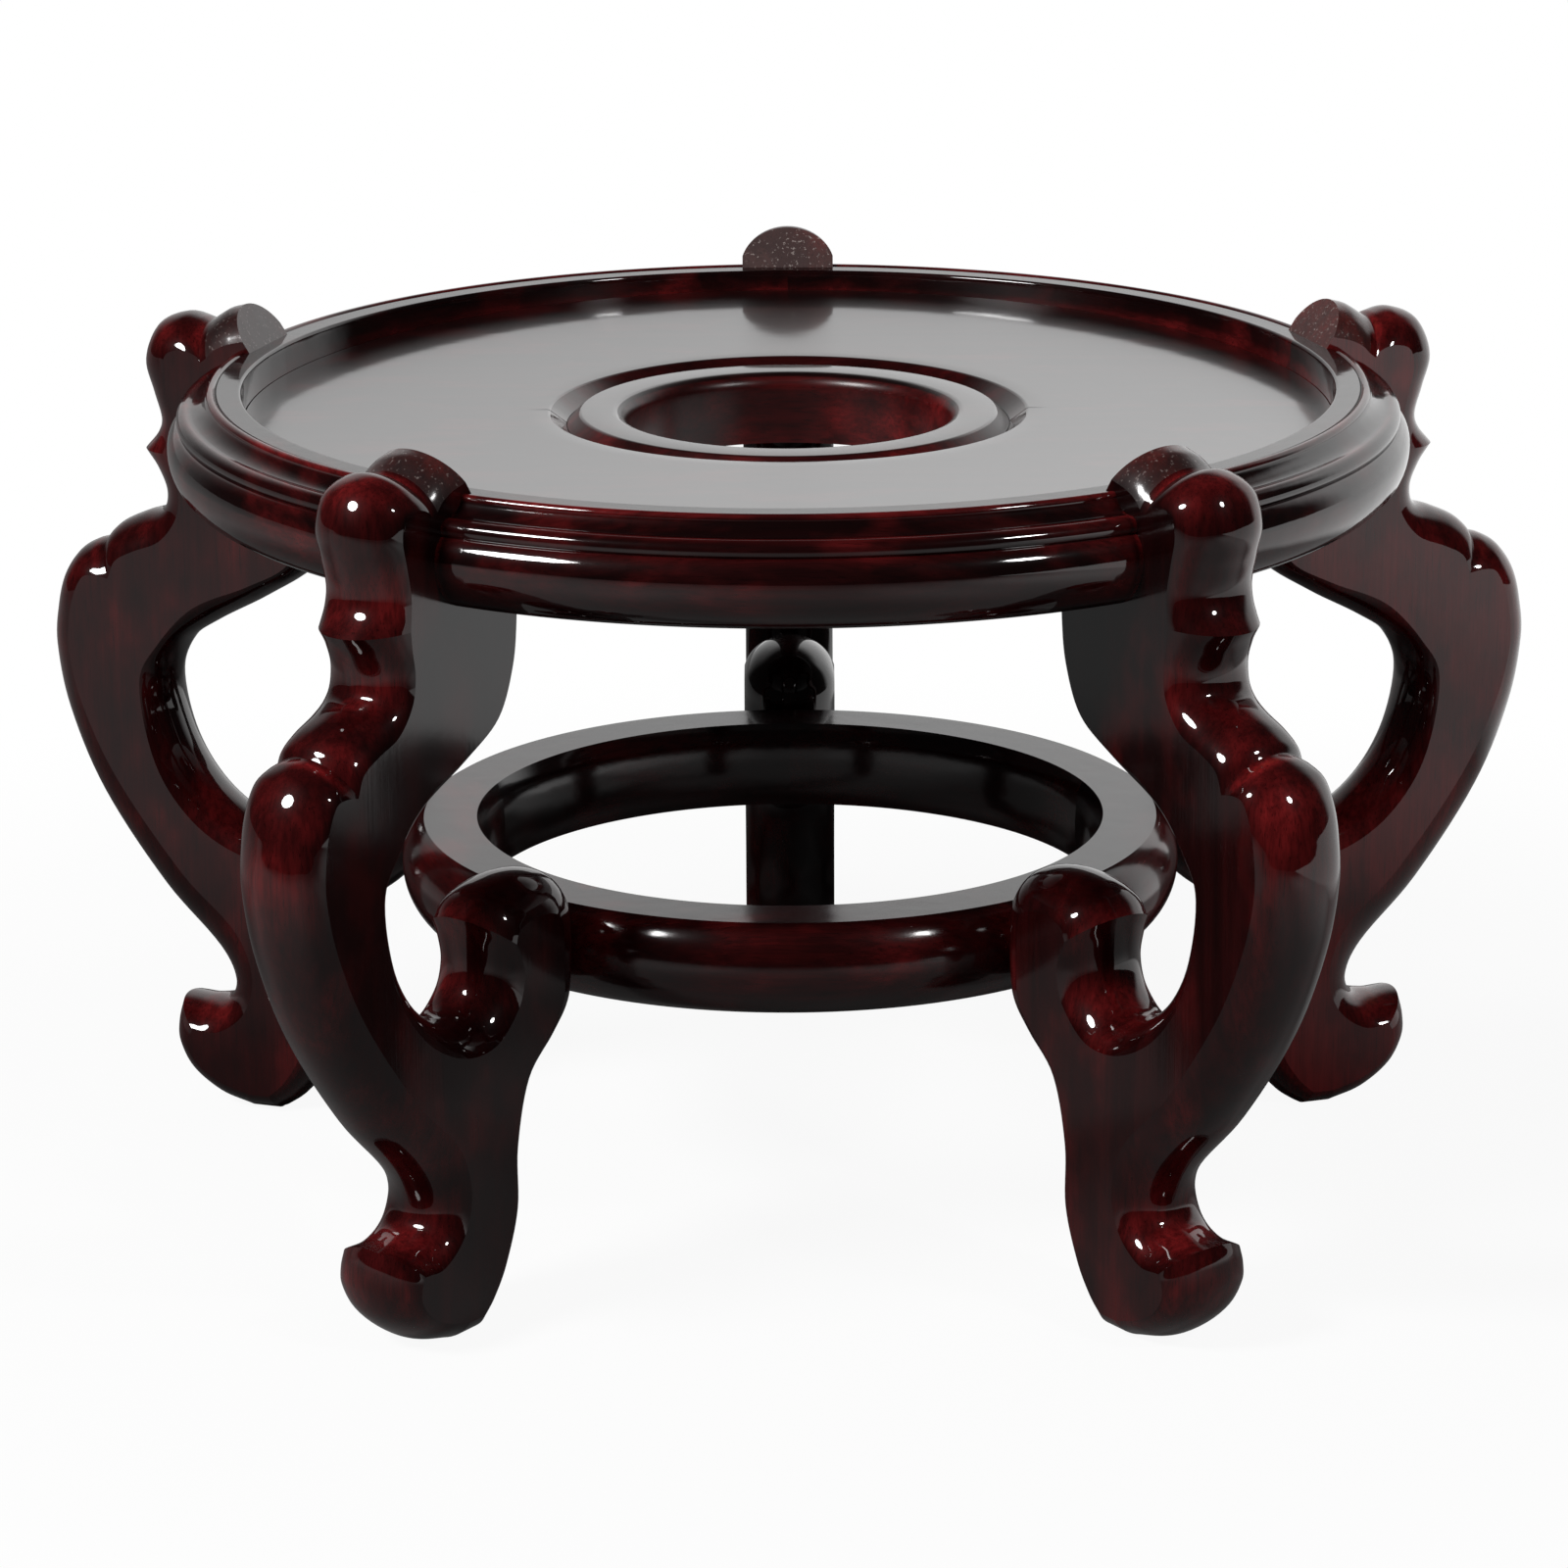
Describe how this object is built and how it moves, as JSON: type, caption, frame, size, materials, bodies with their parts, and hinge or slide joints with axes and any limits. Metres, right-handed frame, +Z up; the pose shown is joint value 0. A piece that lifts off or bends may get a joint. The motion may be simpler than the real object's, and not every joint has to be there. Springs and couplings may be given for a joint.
{
  "type": "round hardwood stand",
  "caption": "Low round lacquered wood stand: moulded rim, recessed panel with a centre hole, cabriole legs with curled toes and a round stretcher. Carries a fishbowl, vase or planter.",
  "frame": {"origin": "on the axis of the top, on the floor that the feet stand on", "axes": "+Z up; one leg stands at +Y, at the back, and -Y faces the front, between two legs"},
  "size_m": [0.4678, 0.4467, 0.2625],
  "materials": {
    "lacquered_hardwood": "gloss",
    "bare_hardwood": "matte"
  },
  "bodies": {
    "root": {"rim_segment_1": "lacquered_hardwood", "rim_segment_2": "lacquered_hardwood", "rim_segment_3": "lacquered_hardwood", "rim_segment_4": "lacquered_hardwood", "rim_segment_5": "lacquered_hardwood", "panel_front": "lacquered_hardwood", "panel_back": "lacquered_hardwood", "panel_spline_right": "bare_hardwood", "panel_spline_left": "bare_hardwood", "centre_ring": "lacquered_hardwood", "leg_1": "lacquered_hardwood", "leg_2": "lacquered_hardwood", "leg_3": "lacquered_hardwood", "leg_4": "lacquered_hardwood", "leg_5": "lacquered_hardwood", "stretcher_segment_1": "lacquered_hardwood", "stretcher_segment_2": "lacquered_hardwood", "stretcher_segment_3": "lacquered_hardwood", "stretcher_segment_4": "lacquered_hardwood", "stretcher_segment_5": "lacquered_hardwood", "head_dowel_1": "bare_hardwood", "head_dowel_2": "bare_hardwood", "head_dowel_3": "bare_hardwood", "head_dowel_4": "bare_hardwood", "head_dowel_5": "bare_hardwood", "post_dowel_1": "bare_hardwood", "post_dowel_2": "bare_hardwood", "post_dowel_3": "bare_hardwood", "post_dowel_4": "bare_hardwood", "post_dowel_5": "bare_hardwood"}
  },
  "joints": []
}
